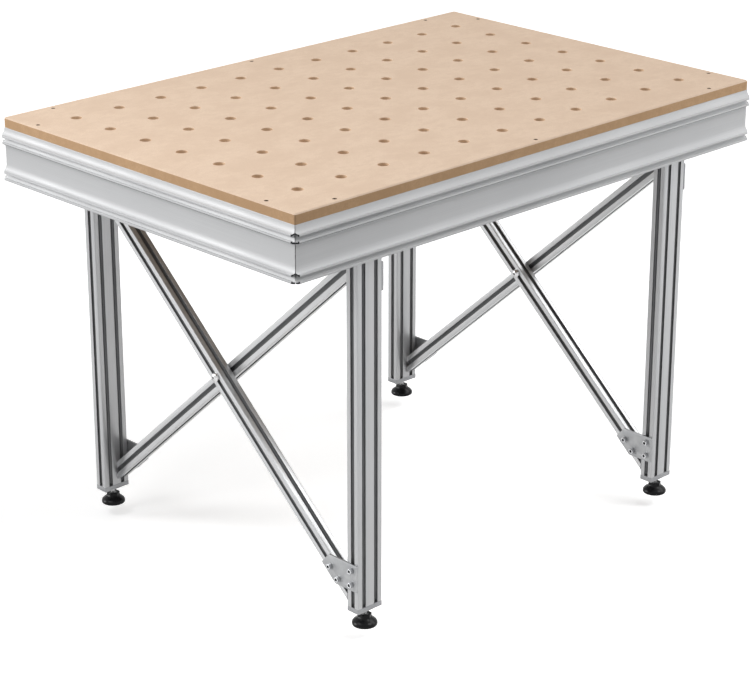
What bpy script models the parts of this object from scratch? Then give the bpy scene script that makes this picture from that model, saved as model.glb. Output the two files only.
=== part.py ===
"""Assembly workbench: a drilled MDF board on a slotted aluminium frame with four braced legs.

Metres, +Z up. X runs along the long sides, -Y is the front, and the origin lies on the floor
below the middle of the board.
"""

import math

import bmesh
import bpy
from mathutils import Matrix, Vector

# The gap between pieces that touch, and how far a cutter runs past a surface.
GAP = 0.0003
OVERRUN = 0.010

# Board and its square grid of dog holes.
BOARD_LENGTH = 1.140
BOARD_WIDTH = 0.760
BOARD_THICKNESS = 0.018
BOARD_CORNER_RADIUS = 0.003
BOARD_EDGE_CHAMFER = 0.0020
WORKING_HEIGHT = 0.793
DOG_HOLE_DIAMETER = 0.020
DOG_HOLE_PITCH = 0.096
DOG_HOLE_MARGIN = 0.080
DOG_HOLE_SIDES = 12
BOARD_SCREW_INSET = 0.014
BOARD_SCREW_HEAD_DIAMETER = 0.008
BOARD_SCREW_HOLE_DIAMETER = 0.0045
BOARD_SCREW_SINK = 0.0022
LONG_SIDE_SCREW_END = 0.098
SHORT_SIDE_SCREW_END = 0.082

# Rail section: distances out from the web's face, and depths below the board.
RAIL_HEIGHT = 0.096
RAIL_DEPTH = 0.019
RAIL_WALL = 0.0025
LIP_REACH = 0.0075
LIP_THICKNESS = 0.0016
LIP_FACE = 0.0036
LIP_EDGE = 0.0014
COVE_HEIGHT = 0.0140
COVE_SHARES = ((0.134, 0.5), (0.5, 0.866), (1.0, 1.0))
CLAMP_MOUTH = 0.0076
CHANNEL_BACK = 0.0025
CHANNEL_RISE = 0.0050
CHANNEL_ROOF_REACH = 0.0005
CHANNEL_DROP = 0.0017
CHANNEL_RAMP_HEIGHT = 0.0103
CHANNEL_RAMP_REACH = 0.0027
CHANNEL_FLOOR_THICKNESS = 0.0027
INNER_SLOT_MOUTH = 0.0080
INNER_SLOT_LIP = 0.0025
INNER_SLOT_WIDTH = 0.0140
INNER_SLOT_DEPTH = 0.0045
MITRE_PULLBACK = 0.0002
LIP_TRIM = 0.0037

# T-slot extrusion of the legs and braces: one slot in each face of a square module, which is
# half of a leg's width. The slots and hollows behind the mouth are shares of the module.
LEG_WIDE = 0.056
LEG_NARROW = 0.027
LEG_INSET = 0.1524
SLOT_MOUTH = 0.0082
SLOT_LIP_SHARE = 0.0715
SLOT_WIDTH_SHARE = 0.482
SLOT_SHOULDER_SHARE = 0.1965
SLOT_FLOOR_SHARE = 0.285
SLOT_DEPTH_SHARE = 0.2607
CORE_BORE_SHARE = 0.1965
CHAMBER_SHARES = (0.43, 0.46)

# Corner keys in the rails' inner slots, and the bolts that hold each leg to its rail.
KEY_ARM = 0.045
M6_SHANK = 0.0056
M6_CLEARANCE_HOLE = 0.0064
M6_HEAD_DIAMETER = 0.0100
M6_HEAD_HEIGHT = 0.0060
M6_SOCKET = 0.0050
M6_SOCKET_DEPTH = 0.0030
NUT_BAR_END = 0.0065

# End plates and levelling feet.
END_PLATE_THICKNESS = 0.009
END_PLATE_HEIGHT = 0.0315
STUD_DIAMETER = 0.008
STUD_HOLE_DIAMETER = 0.0086
STUD_ABOVE_PLATE = 0.034
STUD_TIP_CHAMFER = 0.001
STUD_SOCKET_FLOOR = 0.005
PAD_DIAMETER = 0.045
PAD_RIM = 0.004
PAD_DOME_HEIGHT = 0.014
PAD_SHOULDER = 0.0012
PAD_DOME_SHARES = ((0.0, 0.0), (0.42, 0.18), (0.76, 0.48), (1.0, 1.0))
HUB_DIAMETER = 0.025
HUB_TOP = 0.021

# Braces and gussets. A brace's ends are given on its centre line at the legs' inner faces:
# the low one above the floor, the high one below the board.
CROSS_WASHER_THICKNESS = 0.002
BRACE_LOW = 0.0684
BRACE_HIGH_DROP = 0.1104
GUSSET_THICKNESS = 0.003
GUSSET_BOTTOM = 0.0745
GUSSET_TOP = 0.1245
GUSSET_SCREW_SPACING = 0.0265
GUSSET_BRACE_REACH = 0.039
CROSS_BOLT_DIAMETER = 0.008
CROSS_HOLE_DIAMETER = 0.009
CROSS_HEAD_DIAMETER = 0.017
CROSS_HEAD_HEIGHT = 0.007
CROSS_DOME_SHARES = ((0.34, 0.96), (0.68, 0.76), (0.92, 0.42))
CROSS_NUT_DIAMETER = 0.015
CROSS_NUT_HEIGHT = 0.0065

BEVEL_ROUND = 0.5
SMALL_SIDES = 8
ROUND_STEPS = 12
FOOT_STEPS = 16
MERGE = 0.00001

board_bottom = WORKING_HEIGHT - BOARD_THICKNESS
dog_holes_along = int((BOARD_LENGTH - 2 * DOG_HOLE_MARGIN) / DOG_HOLE_PITCH) + 1
dog_holes_across = int((BOARD_WIDTH - 2 * DOG_HOLE_MARGIN) / DOG_HOLE_PITCH) + 1
leg_top = board_bottom - GAP
leg_bottom = END_PLATE_HEIGHT + END_PLATE_THICKNESS + GAP
leg_x = BOARD_LENGTH / 2 - LEG_INSET - LEG_WIDE / 2
leg_y = BOARD_WIDTH / 2 - RAIL_DEPTH - GAP - LEG_NARROW / 2
leg_inner_y = leg_y - LEG_NARROW / 2
module = LEG_WIDE / 2
module_x = module / 2
inner_slot_height = board_bottom - RAIL_HEIGHT / 2
brace_width = (LEG_WIDE - CROSS_WASHER_THICKNESS) / 2
brace_high = board_bottom - BRACE_HIGH_DROP
crossing_height = (BRACE_LOW + brace_high) / 2
brace_angle = math.atan2(brace_high - BRACE_LOW, 2 * leg_inner_y)
slot_lip = module * SLOT_LIP_SHARE
slot_width = module * SLOT_WIDTH_SHARE
slot_shoulder = module * SLOT_SHOULDER_SHARE
slot_floor = module * SLOT_FLOOR_SHARE
slot_depth = module * SLOT_DEPTH_SHARE
core_bore = module * CORE_BORE_SHARE
nut_bar_thickness = slot_shoulder - slot_lip - 2 * GAP

for item in list(bpy.data.objects):
    bpy.data.objects.remove(item, do_unlink=True)

parts = bpy.data.collections.new("assembly_workbench")
bpy.context.scene.collection.children.link(parts)


def material(name, colour, roughness, metallic):
    """Make a Principled material."""
    made = bpy.data.materials.new(name)
    made.use_nodes = True
    shader = made.node_tree.nodes["Principled BSDF"]
    shader.inputs["Base Color"].default_value = (*colour, 1.0)
    shader.inputs["Roughness"].default_value = roughness
    shader.inputs["Metallic"].default_value = metallic
    return made


mdf = material("mdf", (0.80, 0.62, 0.42), 0.75, 0.0)
anodised = material("anodised_aluminium", (0.70, 0.71, 0.73), 0.38, 1.0)
zinc = material("zinc_plate", (0.60, 0.61, 0.63), 0.45, 1.0)
steel = material("bright_steel", (0.65, 0.65, 0.66), 0.22, 1.0)
black_plastic = material("black_plastic", (0.012, 0.012, 0.013), 0.25, 0.0)


def place(name, mesh, finish, matrix):
    """Add one piece of the bench; copies may share a mesh."""
    if not mesh.materials:
        mesh.materials.append(finish)
    piece = bpy.data.objects.new(name, mesh)
    piece.matrix_world = matrix
    parts.objects.link(piece)
    return piece


def at(x, y, z):
    """Move without turning."""
    return Matrix.Translation((x, y, z))


def turn(degrees, axis):
    """Turn about an axis through the local origin."""
    return Matrix.Rotation(math.radians(degrees), 4, axis)


def moved(mesh, matrix):
    """Move a mesh's points and return it."""
    mesh.transform(matrix)
    return mesh


def mesh_from(shape):
    """Turn a finished bmesh into a mesh."""
    mesh = bpy.data.meshes.new("piece")
    shape.to_mesh(mesh)
    shape.free()
    return mesh


def box(size, centre):
    """A box with its sides along the axes."""
    shape = bmesh.new()
    bmesh.ops.create_cube(shape, size=1.0)
    bmesh.ops.scale(shape, vec=size, verts=shape.verts)
    bmesh.ops.translate(shape, vec=centre, verts=shape.verts)
    return mesh_from(shape)


def rod(diameter, low, high, sides):
    """A round or many-sided rod along Z."""
    shape = bmesh.new()
    bmesh.ops.create_cone(shape, cap_ends=True, segments=sides, radius1=diameter / 2,
                          radius2=diameter / 2, depth=high - low)
    bmesh.ops.translate(shape, vec=(0, 0, (low + high) / 2), verts=shape.verts)
    return mesh_from(shape)


def evaluated_mesh(item):
    """The mesh of an object as its modifiers or curve settings make it."""
    item_in_scene = item.evaluated_get(bpy.context.evaluated_depsgraph_get())
    return bpy.data.meshes.new_from_object(item_in_scene)


def combined(body, tool, operation):
    """A closed mesh cut by another, or joined with it."""
    first = bpy.data.objects.new("body", body)
    second = bpy.data.objects.new("tool", tool)
    for item in (first, second):
        bpy.context.scene.collection.objects.link(item)
    combine = first.modifiers.new("combine", "BOOLEAN")
    combine.object = second
    combine.operation = operation
    result = evaluated_mesh(first)
    for item in (first, second):
        bpy.data.objects.remove(item, do_unlink=True)
    return result


def joined(meshes):
    """Several separate meshes in one, for use as a cutter."""
    shape = bmesh.new()
    for mesh in meshes:
        shape.from_mesh(mesh)
    return mesh_from(shape)


def extruded(outlines, length):
    """A closed extrusion along Z of an outline, with any further outlines as openings."""
    curve = bpy.data.curves.new("section", "CURVE")
    curve.dimensions = "2D"
    curve.fill_mode = "BOTH"
    curve.extrude = length / 2
    for outline in outlines:
        spline = curve.splines.new("POLY")
        spline.points.add(len(outline) - 1)
        for point, (across, up) in zip(spline.points, outline):
            point.co = (across, up, 0, 1)
        spline.use_cyclic_u = True
    holder = bpy.data.objects.new("section", curve)
    bpy.context.scene.collection.objects.link(holder)
    loose = evaluated_mesh(holder)
    bpy.data.objects.remove(holder, do_unlink=True)
    shape = bmesh.new()
    shape.from_mesh(loose)
    bmesh.ops.remove_doubles(shape, verts=shape.verts, dist=MERGE)
    caps = {face for face in shape.faces if len({vert.co.z > 0 for vert in face.verts}) == 1}
    seams = [edge for edge in shape.edges if caps.issuperset(edge.link_faces)]
    bmesh.ops.beautify_fill(shape, faces=list(caps), edges=seams, method="ANGLE")
    bmesh.ops.recalc_face_normals(shape, faces=shape.faces)
    return mesh_from(shape)


def turned(profile, steps):
    """A turned solid about Z from points (radius, height) that run down its outer side."""
    shape = bmesh.new()
    corners = [shape.verts.new((radius, 0, height)) for radius, height in profile]
    for above, below in zip(corners, corners[1:]):
        shape.edges.new((above, below))
    holder = bpy.data.objects.new("profile", mesh_from(shape))
    bpy.context.scene.collection.objects.link(holder)
    screw = holder.modifiers.new("turn", "SCREW")
    screw.steps = steps
    screw.render_steps = steps
    screw.use_merge_vertices = True
    screw.merge_threshold = MERGE
    result = evaluated_mesh(holder)
    bpy.data.objects.remove(holder, do_unlink=True)
    return result


def round_points(diameter, centre_x, sides):
    """The corners of a many-sided hole."""
    angles = [2 * math.pi * side / sides for side in range(sides)]
    return [(centre_x + diameter / 2 * math.cos(a), diameter / 2 * math.sin(a)) for a in angles]


def smooth(mesh):
    """Shade a round piece smooth, with its edges kept."""
    mesh.shade_smooth()
    mesh.set_sharp_from_angle(angle=math.radians(35))
    return mesh


# Board: a plate with softened corners, drilled through by the dog holes and the screw holes.
def board_mesh():
    """The board, centred on its own thickness."""
    shape = bmesh.new()
    shape.from_mesh(box((BOARD_LENGTH, BOARD_WIDTH, BOARD_THICKNESS), (0, 0, 0)))
    upright = [e for e in shape.edges if abs(e.verts[0].co.z - e.verts[1].co.z) > MERGE]
    bmesh.ops.bevel(shape, geom=upright, offset=BOARD_CORNER_RADIUS, segments=2,
                    profile=BEVEL_ROUND, affect="EDGES")
    rim = [e for e in shape.edges if min(v.co.z for v in e.verts) > 0]
    bmesh.ops.bevel(shape, geom=rim, offset=BOARD_EDGE_CHAMFER, segments=1, affect="EDGES")
    plate = mesh_from(shape)
    half = BOARD_THICKNESS / 2
    over = half + OVERRUN
    cutters = []
    for column in range(dog_holes_along):
        for row in range(dog_holes_across):
            x = (column - (dog_holes_along - 1) / 2) * DOG_HOLE_PITCH
            y = (row - (dog_holes_across - 1) / 2) * DOG_HOLE_PITCH
            hole = rod(DOG_HOLE_DIAMETER, -over, over, DOG_HOLE_SIDES)
            cutters.append(moved(hole, at(x, y, 0)))
    head = BOARD_SCREW_HEAD_DIAMETER / 2
    bore = BOARD_SCREW_HOLE_DIAMETER / 2
    countersink = [(0, over), (head, over), (head, half), (bore, half - BOARD_SCREW_SINK),
                   (bore, -over), (0, -over)]
    for x, y in board_screw_places():
        cutters.append(moved(turned(countersink, SMALL_SIDES), at(x, y, 0)))
    return combined(plate, joined(cutters), "DIFFERENCE")


def board_screw_places():
    """Three screws along each long side and two along each short side."""
    side_x = BOARD_LENGTH / 2 - BOARD_SCREW_INSET
    side_y = BOARD_WIDTH / 2 - BOARD_SCREW_INSET
    end_x = BOARD_LENGTH / 2 - LONG_SIDE_SCREW_END
    end_y = BOARD_WIDTH / 2 - SHORT_SIDE_SCREW_END
    places = []
    for sign in (-1, 1):
        places += [(x, sign * side_y) for x in (-end_x, 0, end_x)]
        places += [(sign * side_x, y) for y in (-end_y, end_y)]
    return places


place("top_board", board_mesh(), mdf, at(0, 0, WORKING_HEIGHT - BOARD_THICKNESS / 2))


# Rails: one section with two clamp channels outside and a T-slot inside, mitred at both ends.
def upper_lip(mouth_depth):
    """The cove from the web's face out to the upper lip's face, which ends at the mouth."""
    cove_bottom = mouth_depth - LIP_FACE
    cove_top = cove_bottom - COVE_HEIGHT
    cove = [(out * LIP_REACH, cove_top + down * COVE_HEIGHT) for out, down in COVE_SHARES]
    return [(0, cove_top)] + cove + [(LIP_REACH, mouth_depth)]


def clamp_channel(mouth_depth):
    """One clamp channel, from the upper lip's tip round the inside to the lower lip's edge."""
    lip_back = LIP_REACH - LIP_THICKNESS
    roof = mouth_depth - CHANNEL_RISE
    floor = mouth_depth + CLAMP_MOUTH + CHANNEL_DROP
    return [(lip_back, mouth_depth), (lip_back, mouth_depth - LIP_EDGE), (CHANNEL_ROOF_REACH, roof),
            (-CHANNEL_BACK, roof), (-CHANNEL_BACK, floor - CHANNEL_RAMP_HEIGHT),
            (CHANNEL_RAMP_REACH, floor), (lip_back, floor), (lip_back, mouth_depth + CLAMP_MOUTH),
            (LIP_REACH, mouth_depth + CLAMP_MOUTH)]


def inner_slot():
    """The T-slot in the rail's inner face, going up."""
    middle = RAIL_HEIGHT / 2
    lip = -RAIL_DEPTH + INNER_SLOT_LIP
    back = lip + INNER_SLOT_DEPTH
    low_mouth = middle + INNER_SLOT_MOUTH / 2
    high_mouth = middle - INNER_SLOT_MOUTH / 2
    low_side = middle + INNER_SLOT_WIDTH / 2
    high_side = middle - INNER_SLOT_WIDTH / 2
    return [(-RAIL_DEPTH, low_mouth), (lip, low_mouth), (lip, low_side), (back, low_side),
            (back, high_side), (lip, high_side), (lip, high_mouth), (-RAIL_DEPTH, high_mouth)]


def upper_hollow(web_top):
    """The hollow behind the upper channel and the web, above the inner slot."""
    inner = -RAIL_DEPTH + RAIL_WALL
    behind_channel = -CHANNEL_BACK - RAIL_WALL
    bottom = RAIL_HEIGHT / 2 - INNER_SLOT_WIDTH / 2 - RAIL_WALL
    return [(behind_channel, RAIL_WALL), (behind_channel, web_top), (-RAIL_WALL, web_top),
            (-RAIL_WALL, bottom), (inner, bottom), (inner, RAIL_WALL)]


def lower_hollow(channel_roof):
    """The hollow behind the web and the lower channel, below the inner slot."""
    inner = -RAIL_DEPTH + RAIL_WALL
    behind_channel = -CHANNEL_BACK - RAIL_WALL
    top = RAIL_HEIGHT / 2 + INNER_SLOT_WIDTH / 2 + RAIL_WALL
    web_end = channel_roof - RAIL_WALL
    bottom = RAIL_HEIGHT - RAIL_WALL
    return [(-RAIL_WALL, top), (-RAIL_WALL, web_end), (behind_channel, web_end),
            (behind_channel, bottom), (inner, bottom), (inner, top)]


def rail_mesh(length):
    """A front rail of this length on the board's edge: X along, -Y outward, Z down from 0."""
    upper_mouth = COVE_HEIGHT + LIP_FACE
    lower_mouth = RAIL_HEIGHT - CHANNEL_FLOOR_THICKNESS - CHANNEL_DROP - CLAMP_MOUTH
    web_top = upper_mouth + CLAMP_MOUTH + CHANNEL_DROP + CHANNEL_FLOOR_THICKNESS
    outline = upper_lip(upper_mouth) + clamp_channel(upper_mouth)
    outline += [(LIP_REACH, web_top), (0, web_top)]
    outline += upper_lip(lower_mouth) + clamp_channel(lower_mouth)
    outline += [(LIP_REACH, RAIL_HEIGHT), (-RAIL_DEPTH, RAIL_HEIGHT)]
    outline += inner_slot() + [(-RAIL_DEPTH, 0)]
    hollows = [upper_hollow(web_top), lower_hollow(lower_mouth - CHANNEL_RISE)]
    mesh = extruded([outline] + hollows, length)
    for vertex in mesh.vertices:
        out, depth, along = vertex.co
        end = 1 if along > 0 else -1
        vertex.co = (along + end * (out - MITRE_PULLBACK), -out, -depth)
    shape = bmesh.new()
    shape.from_mesh(mesh)
    bmesh.ops.recalc_face_normals(shape, faces=shape.faces)
    mesh = mesh_from(shape)
    block = LIP_TRIM + LIP_REACH + OVERRUN
    trims = []
    for end in (-1, 1):
        trim = box((2 * block, 2 * block, RAIL_HEIGHT + 2 * OVERRUN),
                   (end * (LIP_TRIM + block), 0, -RAIL_HEIGHT / 2))
        trims.append(moved(trim, at(end * length / 2, 0, 0) @ turn(-45 * end, "Z")))
    return combined(mesh, joined(trims), "DIFFERENCE")


long_rail = rail_mesh(BOARD_LENGTH)
short_rail = rail_mesh(BOARD_WIDTH)
rail_top = board_bottom - GAP
for name, mesh, angle, offset in (("rail_front", long_rail, 0, BOARD_WIDTH / 2),
                                  ("rail_rear", long_rail, 180, BOARD_WIDTH / 2),
                                  ("rail_left", short_rail, -90, BOARD_LENGTH / 2),
                                  ("rail_right", short_rail, 90, BOARD_LENGTH / 2)):
    place(name, mesh, anodised, turn(angle, "Z") @ at(0, -offset, rail_top))


# Corner keys: an angle in the two rails' inner slots at each mitre.
def corner_key_mesh():
    """The angle with its outer corner at the origin, its arms along +X and +Y."""
    thick = INNER_SLOT_DEPTH - 2 * GAP
    tall = INNER_SLOT_WIDTH - 2 * GAP
    outline = [(0, 0), (KEY_ARM, 0), (KEY_ARM, thick), (thick, thick), (thick, KEY_ARM),
               (0, KEY_ARM)]
    return extruded([outline], tall)


corner_key = corner_key_mesh()
key_inset = RAIL_DEPTH - INNER_SLOT_LIP - INNER_SLOT_DEPTH + GAP
key_x = BOARD_LENGTH / 2 - key_inset
key_y = BOARD_WIDTH / 2 - key_inset
key_height = rail_top - RAIL_HEIGHT / 2
for name, x, y, angle in (("corner_key_front_left", -key_x, -key_y, 0),
                          ("corner_key_front_right", key_x, -key_y, 90),
                          ("corner_key_rear_right", key_x, key_y, 180),
                          ("corner_key_rear_left", -key_x, key_y, -90)):
    place(name, corner_key, zinc, at(x, y, key_height) @ turn(angle, "Z"))


# Legs and braces share the T-slot section.
def t_slot(centre):
    """A slot's points along a face (position, depth), about its centre."""
    half = [(SLOT_MOUTH / 2, 0), (SLOT_MOUTH / 2, slot_lip), (slot_width / 2, slot_lip),
            (slot_width / 2, slot_shoulder), (slot_floor / 2, slot_depth)]
    left = [(centre - side, depth) for side, depth in half]
    right = [(centre + side, depth) for side, depth in reversed(half)]
    return left + right


def slotted_outline(wide, narrow, wide_slots, narrow_slots):
    """A rectangle with T-slots at these places in its wide and narrow faces."""
    outline = []
    faces = ((wide, narrow, wide_slots, 0), (narrow, wide, narrow_slots, 90),
             (wide, narrow, wide_slots, 180), (narrow, wide, narrow_slots, 270))
    for length, distance, slots, angle in faces:
        points = [(-length / 2, 0)]
        for centre in slots:
            points += t_slot(centre)
        for along, depth in points:
            corner = Vector((along, depth - distance / 2))
            corner.rotate(Matrix.Rotation(math.radians(angle), 2))
            outline.append(tuple(corner))
    return outline


def leg_mesh():
    """A leg, along Z about its middle, drilled for its two rail bolts."""
    length = leg_top - leg_bottom
    outline = slotted_outline(LEG_WIDE, LEG_NARROW, (-module_x, module_x), (0,))
    hollow_x, hollow_y = (module * share / 2 for share in CHAMBER_SHARES)
    hollow = [(-hollow_x, -hollow_y), (hollow_x, -hollow_y), (hollow_x, hollow_y),
              (-hollow_x, hollow_y)]
    cores = [round_points(core_bore, side * module_x, SMALL_SIDES) for side in (-1, 1)]
    mesh = extruded([outline, hollow] + cores, length)
    bolt_height = inner_slot_height - GAP - (leg_top + leg_bottom) / 2
    reach = LEG_NARROW / 2 + OVERRUN
    drills = []
    for side in (-1, 1):
        drill = rod(M6_CLEARANCE_HOLE, -reach, reach, SMALL_SIDES)
        drills.append(moved(drill, at(side * module_x, 0, bolt_height) @ turn(90, "X")))
    return combined(mesh, joined(drills), "DIFFERENCE")


leg = leg_mesh()
corners = (("front_left", -1, -1), ("front_right", 1, -1), ("rear_left", -1, 1),
           ("rear_right", 1, 1))
for name, side_x, side_y in corners:
    place("leg_" + name, leg, anodised,
          at(side_x * leg_x, side_y * leg_y, (leg_top + leg_bottom) / 2))


# A row of socket-head screws held in one nut bar, with its heads towards +Z.
def screw_row_mesh(seat, bar_top, bar_size, places):
    """Screws at these places along X; seat and bar_top are heights from the clamped face."""
    bar_length, bar_width, bar_thickness = bar_size
    row = box((bar_length, bar_width, bar_thickness), (0, 0, bar_top - bar_thickness / 2))
    for x in places:
        shank_end = bar_top - bar_thickness / 2
        shank = rod(M6_SHANK, shank_end, seat + M6_HEAD_HEIGHT / 4, SMALL_SIDES)
        head = rod(M6_HEAD_DIAMETER, seat, seat + M6_HEAD_HEIGHT, ROUND_STEPS)
        screw = combined(shank, head, "UNION")
        top = seat + M6_HEAD_HEIGHT
        socket = rod(M6_SOCKET, top - M6_SOCKET_DEPTH, top + OVERRUN, 6)
        screw = combined(screw, socket, "DIFFERENCE")
        row = combined(row, moved(screw, at(x, 0, 0)), "UNION")
    return row


# Leg bolts: two through each leg into a nut bar in the rail's inner slot.
def leg_bolts_mesh():
    """The pair of a front leg, about the leg's outer face, with heads towards +Y."""
    thick = INNER_SLOT_DEPTH - 2 * GAP
    size = (2 * (module_x + NUT_BAR_END), INNER_SLOT_WIDTH - 2 * GAP, thick)
    bar_top = -GAP - INNER_SLOT_LIP - GAP
    row = screw_row_mesh(LEG_NARROW + GAP, bar_top, size, (-module_x, module_x))
    return moved(row, turn(-90, "X"))


leg_bolts = leg_bolts_mesh()
leg_outer_y = leg_y + LEG_NARROW / 2
for name, side_x, side_y in corners:
    place("leg_bolts_" + name, leg_bolts, zinc,
          at(side_x * leg_x, side_y * leg_outer_y, key_height) @ turn(90 + 90 * side_y, "Z"))


# End plates close the legs, and each holds the stud of a levelling foot.
def end_plate_mesh():
    """The plate, about its middle, with the stud's hole."""
    plate = box((LEG_WIDE, LEG_NARROW, END_PLATE_THICKNESS), (0, 0, 0))
    reach = END_PLATE_THICKNESS / 2 + OVERRUN
    return combined(plate, rod(STUD_HOLE_DIAMETER, -reach, reach, ROUND_STEPS), "DIFFERENCE")


def stud_mesh():
    """The threaded stud at its own height, with a chamfered tip."""
    foot = STUD_SOCKET_FLOOR + GAP
    tip = END_PLATE_HEIGHT + END_PLATE_THICKNESS + STUD_ABOVE_PLATE
    radius = STUD_DIAMETER / 2
    profile = [(0, tip), (radius - STUD_TIP_CHAMFER, tip), (radius, tip - STUD_TIP_CHAMFER),
               (radius, foot), (0, foot)]
    return smooth(turned(profile, ROUND_STEPS))


def pad_mesh():
    """The domed pad with its six-sided hub and the stud's socket, standing on the floor."""
    shoulder = HUB_DIAMETER / 2 + PAD_SHOULDER
    rise = PAD_DOME_HEIGHT - PAD_RIM
    reach = PAD_DIAMETER / 2 - shoulder
    dome = [(shoulder + out * reach, PAD_DOME_HEIGHT - down * rise)
            for out, down in PAD_DOME_SHARES]
    profile = [(0, PAD_DOME_HEIGHT)] + dome + [(PAD_DIAMETER / 2, 0), (0, 0)]
    hub = rod(HUB_DIAMETER, PAD_RIM, HUB_TOP, 6)
    pad = combined(turned(profile, FOOT_STEPS), hub, "UNION")
    socket = rod(STUD_HOLE_DIAMETER, STUD_SOCKET_FLOOR, HUB_TOP + OVERRUN, ROUND_STEPS)
    return smooth(combined(pad, socket, "DIFFERENCE"))


end_plate = end_plate_mesh()
stud = stud_mesh()
pad = pad_mesh()
for name, side_x, side_y in corners:
    x = side_x * leg_x
    y = side_y * leg_y
    place("end_plate_" + name, end_plate, anodised,
          at(x, y, END_PLATE_HEIGHT + END_PLATE_THICKNESS / 2))
    place("foot_stud_" + name, stud, steel, at(x, y, 0))
    place("foot_pad_" + name, pad, black_plastic, at(x, y, 0))


# Braces: two to a side, crossing at mid-height. Each side has a frame about its crossing, in
# which brace a runs from the front leg's foot up to the rear leg's head, on the -X side.
def brace_mesh():
    """Brace a about the crossing, its ends cut upright and its middle drilled for the bolt."""
    half_run = (leg_inner_y - GAP) / math.cos(brace_angle)
    outline = slotted_outline(brace_width, brace_width, (0,), (0,))
    blank = extruded([outline, round_points(core_bore, 0, SMALL_SIDES)], 2 * half_run)
    reach = brace_width / 2 + OVERRUN
    drill = moved(rod(CROSS_HOLE_DIAMETER, -reach, reach, ROUND_STEPS), turn(90, "Y"))
    mesh = combined(blank, drill, "DIFFERENCE")
    lean = math.tan(brace_angle)
    for vertex in mesh.vertices:
        across, up, along = vertex.co
        if abs(along) > half_run / 2:
            along = math.copysign(half_run, along) - up * lean
        vertex.co = (across, up, along)
    lay = Matrix.Rotation(brace_angle - math.pi / 2, 4, "X")
    return moved(mesh, at(-(LEG_WIDE - brace_width) / 2, 0, 0) @ lay)


def gusset_mesh():
    """The plate at brace a's low end, about the crossing, drilled for its four screws."""
    low_y = -leg_inner_y
    low = BRACE_LOW - crossing_height
    slope = math.tan(brace_angle)
    rise = brace_width / 2 / math.cos(brace_angle)
    top = GUSSET_TOP - crossing_height
    bottom = GUSSET_BOTTOM - crossing_height
    outer = low_y - LEG_NARROW
    upper_y = low_y + (top - low - rise) / slope
    lower_y = low_y + (bottom - low + rise) / slope
    tip_y = upper_y + brace_width * math.sin(brace_angle)
    tip_z = top - brace_width * math.cos(brace_angle)
    outline = [(outer, bottom), (lower_y, bottom), (tip_y, tip_z), (upper_y, top), (outer, top)]
    plate = extruded([outline], GUSSET_THICKNESS)
    stand_off = LEG_WIDE / 2 + GAP + GUSSET_THICKNESS / 2
    upright = Matrix(((0, 0, 1, -stand_off), (1, 0, 0, 0), (0, 1, 0, 0), (0, 0, 0, 1)))
    plate = moved(plate, upright)
    drills = []
    for pair in screw_pair_places():
        for side in (-1, 1):
            drill = rod(M6_CLEARANCE_HOLE, GAP - OVERRUN, GUSSET_THICKNESS + OVERRUN, SMALL_SIDES)
            drills.append(moved(drill, pair @ at(side * GUSSET_SCREW_SPACING / 2, 0, 0)))
    return combined(plate, joined(drills), "DIFFERENCE")


def screw_pair_places():
    """Where the leg's and the brace's screw pairs lie at brace a's low end: X runs along the
    pair and Z points out of the side's face."""
    facing = Matrix(((0, 0, -1, 0), (0, 1, 0, 0), (1, 0, 0, 0), (0, 0, 0, 1)))
    face = -LEG_WIDE / 2
    leg_height = (GUSSET_BOTTOM + GUSSET_TOP) / 2 - crossing_height
    on_leg = at(face, -leg_y, leg_height) @ facing
    along_y = -leg_inner_y + GUSSET_BRACE_REACH * math.cos(brace_angle)
    along_z = BRACE_LOW - crossing_height + GUSSET_BRACE_REACH * math.sin(brace_angle)
    lean = Matrix.Rotation(brace_angle - math.pi / 2, 4, "X")
    on_brace = at(face, along_y, along_z) @ lean @ facing
    return on_leg, on_brace


def screw_pair_mesh():
    """Two screws in a nut bar, about the slot's face."""
    length = GUSSET_SCREW_SPACING + 2 * NUT_BAR_END
    size = (length, slot_width - 2 * GAP, nut_bar_thickness)
    seat = GAP + GUSSET_THICKNESS + GAP
    half = GUSSET_SCREW_SPACING / 2
    return screw_row_mesh(seat, -slot_lip - GAP, size, (-half, half))


def cross_bolt_mesh():
    """The bolt through a crossing, with its washer between the braces and its nut."""
    seat = LEG_WIDE / 2 + GAP
    radius = CROSS_BOLT_DIAMETER / 2
    head = CROSS_HEAD_DIAMETER / 2
    washer = CROSS_WASHER_THICKNESS / 2 - GAP
    dome = [(out * head, seat + up * CROSS_HEAD_HEIGHT) for out, up in CROSS_DOME_SHARES]
    profile = [(0, seat + CROSS_HEAD_HEIGHT)] + dome + [(head, seat), (radius, seat),
                                                        (radius, washer), (head, washer),
                                                        (head, -washer), (radius, -washer)]
    profile += [(radius, -seat - CROSS_NUT_HEIGHT - GAP), (0, -seat - CROSS_NUT_HEIGHT - GAP)]
    nut = rod(CROSS_NUT_DIAMETER, -seat - CROSS_NUT_HEIGHT, -seat, 6)
    bolt = combined(turned(profile, ROUND_STEPS), nut, "UNION")
    return moved(smooth(bolt), turn(-90, "Y"))


brace = brace_mesh()
gusset = gusset_mesh()
screw_pair = screw_pair_mesh()
cross_bolt = cross_bolt_mesh()
on_leg, on_brace = screw_pair_places()
for side, side_x in (("left", -leg_x), ("right", leg_x)):
    crossing = at(side_x, 0, crossing_height)
    place("cross_bolt_" + side, cross_bolt, steel, crossing)
    for run, half_turn in (("a", 0), ("b", 180)):
        frame = crossing @ turn(half_turn, "Z")
        place("brace_%s_%s" % (side, run), brace, anodised, frame)
        for end, flip in (("low", 0), ("high", 180)):
            seat = frame @ turn(flip, "X")
            label = "%s_%s_%s" % (side, run, end)
            place("gusset_" + label, gusset, zinc, seat)
            place("leg_screws_" + label, screw_pair, zinc, seat @ on_leg)
            place("brace_screws_" + label, screw_pair, zinc, seat @ on_brace)
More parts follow.
